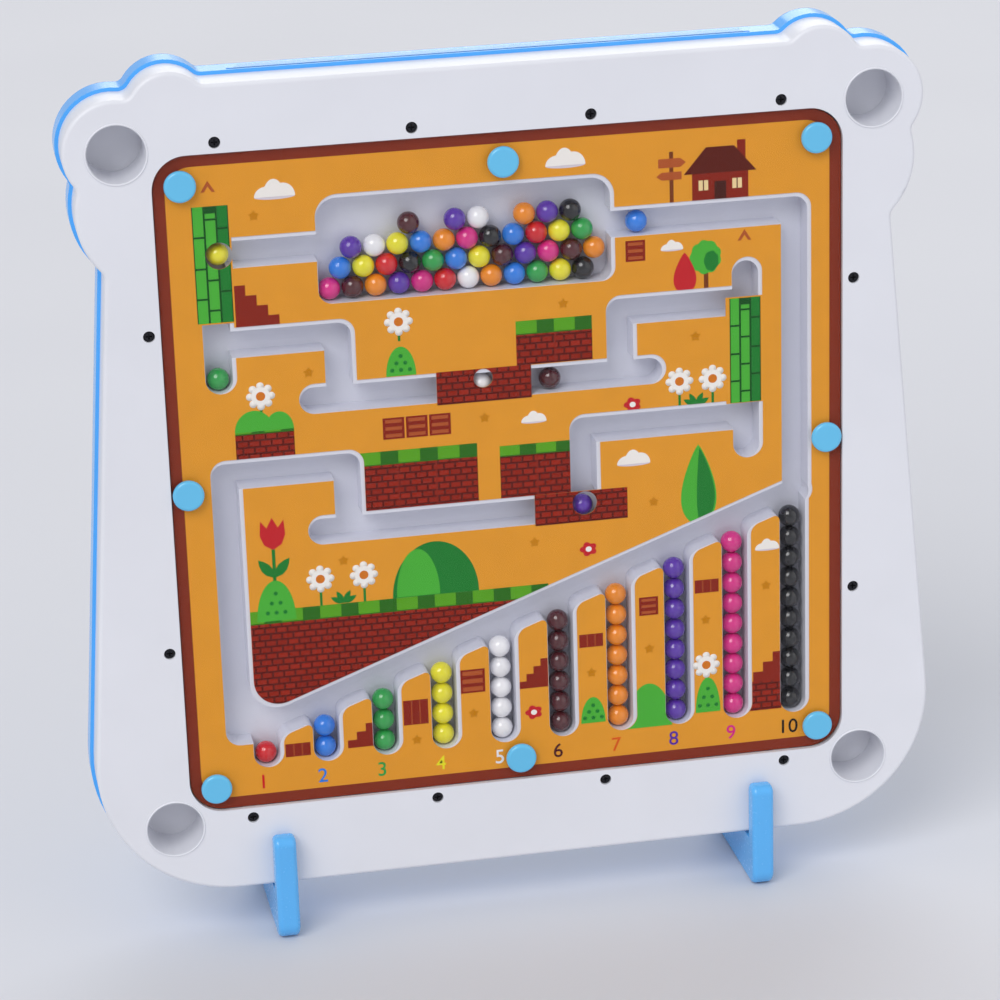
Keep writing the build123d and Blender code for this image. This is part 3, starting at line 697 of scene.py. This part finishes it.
leaves = [leaf(x, z, 5.2, lean) for x, z in [(67, 15.6), (-61.5, -45.8)] for lean in (-62, 62, -28, 28)]
leaves += [leaf(-85.5, -34, 9, lean) for lean in (-38, 38)]
tree_trunk = printed_card("offset_ink_trunk_brown", "#7A3A18")
print_shapes("print_stems", leaf_dark, 1, stems + [bar(-86.1, -84.9, -36, -21)])
print_shapes("print_leaves", leaf_dark, 1.5, leaves)
print_shapes("print_tree_trunk", tree_trunk, 1, [bar(70.3, 71.9, 56.2, 66)])
print_shapes("print_tree_crown", leaf_bright, 2, [rounded(71, 69.5, 11.5, 12.5, 9, 0.1)])
print_shapes("print_tree_shade", leaf_dark, 3, [rounded(73, 68, 5.4, 7.5, 7, 0.1)])
drop = spindle(63.5, 57.2, 8.2, 14.5)
tulip = [(-85.5, -23.5), (-88.6, -21.6), (-90, -18), (-89.6, -12.6), (-87.5, -15.4), (-85.5, -11.6)]
tulip += [(-83.5, -15.4), (-81.4, -12.6), (-81, -18), (-82.4, -21.6)]
blossoms = [(44, 18), (27, -34.5), (5.5, -95)]
print_shapes("print_tulip", blossom_red, 2, [tulip, drop])
print_shapes("print_blossoms", blossom_red, 1, [rounded(x, z, 6.5, 5.5, 5, 0.3) for x, z in blossoms])
print_shapes("print_blossom_hearts", petal_white, 2, [rounded(x, z, 2.2, 2) for x, z in blossoms])

# ---- Print: cottage and signpost -------------------------------------------------------------
# A farm cottage with a pitched roof, a chimney, a plain door and two lit windows, and a wooden
# signpost with two blank boards. Both are plain generic drawings.
roof_ink = printed_card("offset_ink_roof_brown", "#5E1B0E")
window_ink = printed_card("offset_ink_window_cream", "#F3D9A0", spread=0.03)
cottage_walls = bar(66.5, 86.5, 88.5, 100)
roof = [(63.6, 99.4), (89.4, 99.4), (81.5, 108.6), (71.5, 108.6)]
print_shapes("print_cottage_chimney", step_ink, 1, [bar(82.6, 85.6, 101, 110.5)])
print_shapes("print_cottage_walls", step_ink, 2, [cottage_walls])
print_shapes("print_cottage_roof", roof_ink, 3, [roof])
print_shapes("print_cottage_windows", window_ink, 3, [bar(68.8, 72.2, 93.4, 97), bar(80.8, 84.2, 93.4, 97)])
print_shapes("print_cottage_bars", roof_ink, 4, [bar(70.3, 70.7, 93.4, 97), bar(82.3, 82.7, 93.4, 97)])
print_shapes("print_cottage_door", eye_dark, 3, [bar(74.4, 78.6, 88.6, 96.4)])
sign_boards = [
    [(54.6, 102.4), (62.4, 102.4), (64.4, 104), (62.4, 105.6), (54.6, 105.6)],
    [(62.8, 98), (55.8, 98), (53.8, 99.4), (55.8, 100.8), (62.8, 100.8)],
]
print_shapes("print_signpost", tree_trunk, 1, [bar(58.5, 59.9, 88.5, 108)])
print_shapes("print_sign_boards", mark_ink, 2, sign_boards)


def chevron(x, z):
    """A small arrowhead that points up."""
    left = [(x - 2.5, z - 1.6), (x - 1.3, z - 1.6), (x, z + 0.4)]
    return left + [(x + 1.3, z - 1.6), (x + 2.5, z - 1.6), (x, z + 2.4)]


print_shapes("print_way_marks", mark_ink, 1, [chevron(-101, 108), chevron(85, 76)])

# ---- Print: numerals -------------------------------------------------------------------------
# The numbers 1 to 10 under the columns, each in its column's colour. They are set in a plain
# sans-serif face and are drawn slightly bolder than type so they read through the cover.
numeral_height = 7.6 * mm
numeral_middle = -111.2 * mm
numeral_shift = -2 * mm
column_colours = ["red", "blue", "green", "yellow", "white", "brown", "orange", "purple", "pink", "black"]
numeral_codes = {**bead_colours, "orange": "#DE5A14"}
numeral_inks = {
    name: printed_card(f"offset_ink_numeral_{name}", numeral_codes[name]) for name in column_colours
}
for index, name in enumerate(column_colours):
    letters = bpy.data.curves.new(f"numeral_{index + 1}", "FONT")
    letters.body = str(index + 1)
    letters.size = numeral_height
    letters.align_x = "CENTER"
    letters.align_y = "CENTER"
    letters.offset = 0.04 * mm
    letters.extrude = ink_step
    typed = bpy.data.objects.new(f"numeral_{index + 1}", letters)
    flat_shape = bmesh.new()
    flat_shape.from_mesh(bpy.data.meshes.new_from_object(typed))
    bpy.data.objects.remove(typed)
    bmesh.ops.remove_doubles(flat_shape, verts=flat_shape.verts, dist=0.001 * mm)
    bmesh.ops.transform(flat_shape, matrix=Matrix.Rotation(math.radians(90), 4, "X"), verts=flat_shape.verts)
    column_box = [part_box(node) for node in nodes if node.startswith(f"column_{index + 1:02d}")][0]
    middle_x = (column_box[0].x + column_box[1].x) / 2
    spot = (middle_x + numeral_shift, sheet_front - ink_back - ink_step, panel_middle.z + numeral_middle)
    bmesh.ops.translate(flat_shape, verts=flat_shape.verts, vec=spot)
    keep_print(f"print_numeral_{index + 1:02d}", flat_shape, numeral_inks[name], die_cut=False)

bpy.data.objects.remove(cutting_die)

# ---- Clear cover and caps --------------------------------------------------------------------
# A sheet of 1.5 mm clear polystyrene lies over the maze, pressed down by eight glossy blue caps
# whose stems snap into the tray. The sheet is all but invisible face on and mirrors at a slant.
see_through, tree = start_material("clear_polystyrene_sheet")
slant = add_node(tree, "ShaderNodeLayerWeight", {"Blend": 0.5})
falloff = add_node(tree, "ShaderNodeMath", {0: slant.outputs["Facing"], 1: 5.0}, operation="POWER")
mirror = add_node(
    tree, "ShaderNodeMath", {0: falloff.outputs[0], 1: 0.9, 2: 0.008}, operation="MULTIPLY_ADD"
)
place = add_node(tree, "ShaderNodeTexCoord").outputs["Object"]
ripple = add_node(tree, "ShaderNodeTexNoise", {"Vector": place, "Scale": 1 / (60 * mm), "Detail": 1.0})
bow = add_node(
    tree, "ShaderNodeBump", {"Height": ripple.outputs["Fac"], "Strength": 0.4, "Distance": 0.4 * mm}
)
clear = add_node(tree, "ShaderNodeBsdfTransparent", {"Color": linear("#FEFEFE")})
shine = add_node(tree, "ShaderNodeBsdfGlossy", {"Roughness": 0.06, "Normal": bow.outputs["Normal"]})
sheet = add_node(
    tree, "ShaderNodeMixShader", {0: mirror.outputs[0], 1: clear.outputs["BSDF"], 2: shine.outputs["BSDF"]}
)
add_node(tree, "ShaderNodeOutputMaterial", {"Surface": sheet.outputs["Shader"]})
finish_node("maze_cover", see_through)
cap_abs = moulded_abs("light_blue_abs_cap", "#62C0EC", gloss=0.2, grain=2 * mm, relief=0.004 * mm, coat=0.3)
finish_node("cover_caps", cap_abs)

# ---- Blue front shell ------------------------------------------------------------------------
# The drawing side: a deep rounded frame of glossy blue ABS with a leg boss at each bottom
# corner, a pocket for the pen and a window. It overlaps the white shell all round, so a thin
# blue line outlines the board from the maze side too.
blue_abs = moulded_abs(
    "blue_abs_injection_moulded", "#4AAEFF", gloss=0.24, grain=1.2 * mm, relief=0.006 * mm, coat=0.2
)
finish_node("blue_front_shell", blue_abs)

# ---- Disc plate, its cups and the window -----------------------------------------------------
# The white screen is a plate of moulded polystyrene with a grid of shallow cups, each with a
# fine lip round it, so low that a loose disc slides over it. A clear window closes it.
plate_abs = moulded_abs("white_polystyrene_cup_plate", "#E9EAED", gloss=0.4)
finish_node("disc_plate", plate_abs)
finish_node("disc_window", see_through)
plate_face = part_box("picture_red_discs")[0].y + 1.5 * mm
lip_bead = 0.22 * mm
lip_rise = 0.06 * mm
cup_pitch = 12.7
cup_rows = 14
cup_columns = 18
cup_top_row = 109
cup_places = [
    (
        cup_pitch * (column - (cup_columns - 1) / 2) * mm,
        plate_face - lip_bead + lip_rise,
        panel_middle.z + (cup_top_row - cup_pitch * row) * mm,
    )
    for row in range(cup_rows)
    for column in range(cup_columns)
]
cup_lips = grow(
    "cup_lips",
    ring_tree("cup_lip_rings", plate_abs, upright),
    {"Ring radius": 5.75 * mm, "Bead radius": lip_bead, "Steps": 28},
    cup_places,
)
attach(cup_lips, "board")

# ---- Discs -----------------------------------------------------------------------------------
# Ferrite discs of 10.2 mm in coloured polypropylene jackets, semi-gloss, with one concentric
# rib on the face. They stick to the pen through the window and are drawn into the cups.
disc_colours = {
    "red": "#BE1F3A",
    "blue": "#3C6DCB",
    "green": "#2C9449",
    "yellow": "#E0C828",
    "black": "#121214",
}
jacket = {
    name: moulded_abs(f"polypropylene_jacket_{name}", code, gloss=0.3, grain=0.9 * mm)
    for name, code in disc_colours.items()
}


def solid_middles(name):
    """The middle of each loose solid of a CAD node, at its outer face towards +Y."""
    shape = bmesh.new()
    shape.from_mesh(nodes[name].data)
    bmesh.ops.remove_doubles(shape, verts=shape.verts, dist=0.001 * mm)
    waiting = set(shape.verts)
    middles = []
    while waiting:
        edge = [waiting.pop()]
        solid = list(edge)
        while edge:
            near = {link.other_vert(vert) for vert in edge for link in vert.link_edges} & waiting
            waiting -= near
            solid += near
            edge = list(near)
        low = Vector(min(vert.co[axis] for vert in solid) for axis in range(3))
        high = Vector(max(vert.co[axis] for vert in solid) for axis in range(3))
        middles.append(((low.x + high.x) / 2, high.y, (low.z + high.z) / 2))
    shape.free()
    return middles


for group, body in (("picture", "picture_discs"), ("loose", "loose_discs")):
    for name in disc_colours:
        finish_node(f"{group}_{name}_discs", jacket[name])
        ribs = grow(
            f"{group}_{name}_disc_ribs",
            ring_tree(f"{group}_{name}_ribs", jacket[name], upright),
            {"Ring radius": 3.0 * mm, "Bead radius": 0.22 * mm, "Steps": 24},
            solid_middles(f"{group}_{name}_discs"),
        )
        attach(ribs, body)

# ---- Pattern card ----------------------------------------------------------------------------
# A clear PET card that slides in behind the screen through a slot in the top edge. A grid of
# fine grey rings is screen printed on it, one for each cup, as a guide for laying a picture.
card_pet, tree = start_material("clear_pet_card")
place = add_node(tree, "ShaderNodeTexCoord").outputs["Object"]
haze = add_node(tree, "ShaderNodeTexNoise", {"Vector": place, "Scale": 1 / (30 * mm), "Detail": 2.0})
veil = add_node(tree, "ShaderNodeMapRange", {"Value": haze.outputs["Fac"], "To Min": 0.08, "To Max": 0.15})
clear = add_node(tree, "ShaderNodeBsdfTransparent", {"Color": linear("#F4F8FA")})
shine = add_node(tree, "ShaderNodeBsdfPrincipled", {"Base Color": linear("#E6EEF2"), "Roughness": 0.12})
film = add_node(
    tree,
    "ShaderNodeMixShader",
    {0: veil.outputs["Result"], 1: clear.outputs["BSDF"], 2: shine.outputs["BSDF"]},
)
add_node(tree, "ShaderNodeOutputMaterial", {"Surface": film.outputs["Shader"]})
finish_node("pattern_card", card_pet)
card_low, card_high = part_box("pattern_card")
screen_ink = printed_card("screen_ink_ring_grey", "#5A6068")
ring_rows = 15
ring_columns = 13
card_centre = (card_low + card_high) / 2
card_rings = grow(
    "card_rings",
    ring_tree("card_ring_print", screen_ink, upright),
    {"Ring radius": 4.6 * mm, "Bead radius": 0.16 * mm, "Steps": 24},
    [
        (
            card_centre.x + cup_pitch * (column - (ring_columns - 1) / 2) * mm,
            card_high.y,
            card_centre.z + cup_pitch * (row - (ring_rows - 1) / 2) * mm,
        )
        for row in range(ring_rows)
        for column in range(ring_columns)
    ],
)
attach(card_rings, "pattern_card")

# ---- Magnetic pen ----------------------------------------------------------------------------
# A turned-looking barrel of deep yellow ABS with ribs for the fingers, a pressed end cap and a
# nickel-plated magnet in its tip. It lies in the pocket under the screen.
pen_abs = moulded_abs("yellow_abs_pen", "#E0A726", gloss=0.26, grain=0.9 * mm, coat=0.2)
finish_node("pen_barrel", pen_abs)
cap_plastic = moulded_abs("amber_abs_end_cap", "#D8981C", gloss=0.3)
finish_node("pen_end_cap", cap_plastic)
nickel, tree = start_material("magnet_nickel_plated")
place = add_node(tree, "ShaderNodeTexCoord").outputs["Object"]
scuff = add_node(tree, "ShaderNodeTexNoise", {"Vector": place, "Scale": 1 / (0.6 * mm), "Detail": 3.0})
rough = add_node(tree, "ShaderNodeMapRange", {"Value": scuff.outputs["Fac"], "To Min": 0.16, "To Max": 0.34})
plating = add_node(
    tree,
    "ShaderNodeBsdfPrincipled",
    {"Base Color": linear("#C9C6BF"), "Metallic": 1.0, "Roughness": rough.outputs["Result"]},
)
add_node(tree, "ShaderNodeOutputMaterial", {"Surface": plating.outputs["BSDF"]})
finish_node("pen_magnet", nickel)
barrel_low, barrel_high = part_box("pen_barrel")
barrel_middle = (barrel_low + barrel_high) / 2
first_rib = 16
rib_pitch = 2.2
rib_count = 5
grip_rings = grow(
    "pen_grip_rings",
    ring_tree("pen_ribs", pen_abs, (0, upright[0], 0)),
    {"Ring radius": 5.0 * mm, "Bead radius": 0.45 * mm, "Steps": 40},
    [
        (barrel_high.x - (first_rib + rib_pitch * i) * mm, barrel_middle.y, barrel_middle.z)
        for i in range(rib_count)
    ],
)
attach(grip_rings, "pen")

# ---- Filler plug -----------------------------------------------------------------------------
# A push-in plug of soft navy PVC closes the hole through which the discs were filled.
navy_pvc = moulded_abs("navy_soft_pvc_plug", "#20406C", gloss=0.42)
finish_node("filler_plug", navy_pvc)

# ---- Foot stands -----------------------------------------------------------------------------
# Two forks of light blue ABS hold the bottom edge of the board upright, each on a long foot.
# They push on by hand, and have the light gloss of a polished tool.
stand_abs = moulded_abs(
    "light_blue_abs_stand", "#5AB4F6", gloss=0.25, grain=1.4 * mm, relief=0.006 * mm, coat=0.2
)
finish_node("stand_left", stand_abs)
finish_node("stand_right", stand_abs)

# ---- Floor, light and camera -----------------------------------------------------------------
# A plain pale floor, one large soft key light high on the left, a weaker fill on the right and
# a soft light from behind, so that both sides of the board can be looked at.
floor_mesh = bpy.data.meshes.new("floor")
reach = 8.0
floor_corners = [(-reach, -reach, 0), (reach, -reach, 0), (reach, reach, 0), (-reach, reach, 0)]
floor_mesh.from_pydata(floor_corners, [], [(0, 1, 2, 3)])
floor = bpy.data.objects.new("floor", floor_mesh)
bpy.context.scene.collection.objects.link(floor)
paper, tree = start_material("matt_studio_paper")
place = add_node(tree, "ShaderNodeTexCoord").outputs["Object"]
fibre = add_node(tree, "ShaderNodeTexNoise", {"Vector": place, "Scale": 3.0, "Detail": 2.0})
shade = add_node(
    tree,
    "ShaderNodeMix",
    {0: fibre.outputs["Fac"], 6: linear("#CFD0D6"), 7: linear("#D6D7DC")},
    data_type="RGBA",
)
matt = add_node(tree, "ShaderNodeBsdfPrincipled", {"Base Color": shade.outputs[2], "Roughness": 0.8})
add_node(tree, "ShaderNodeOutputMaterial", {"Surface": matt.outputs["BSDF"]})
floor_mesh.materials.append(paper)

board_middle = Vector((0, -0.007, 0.165))


def soft_light(name, place, spread, strength):
    """A wide, far soft box aimed at the middle of the board, so it lights the floor evenly."""
    lamp = bpy.data.lights.new(name, "SUN")
    lamp.angle = math.radians(spread)
    lamp.energy = strength
    box = bpy.data.objects.new(name, lamp)
    box.rotation_euler = (board_middle - Vector(place)).to_track_quat("-Z", "Y").to_euler()
    bpy.context.scene.collection.objects.link(box)


soft_light("key_light", (-0.9, -1.2, 1.5), 36, 1.4)
soft_light("fill_light", (1.4, -1.2, 0.8), 60, 0.36)
soft_light("back_light", (0.5, 1.5, 1.2), 50, 0.95)
world = bpy.data.worlds.new("studio")
world.use_nodes = True
world.node_tree.nodes["Background"].inputs["Color"].default_value = linear("#F2F3F6")
world.node_tree.nodes["Background"].inputs["Strength"].default_value = 0.6
bpy.context.scene.world = world
bpy.context.scene.view_settings.view_transform = "Standard"

lens = bpy.data.cameras.new("camera")
lens.lens = 129.6
camera = bpy.data.objects.new("camera", lens)
camera.location = (-0.2206, -1.194, 0.581)
camera.rotation_euler = [math.radians(turn) for turn in (70.45, 1.73, -11.04)]
bpy.context.scene.collection.objects.link(camera)
bpy.context.scene.camera = camera
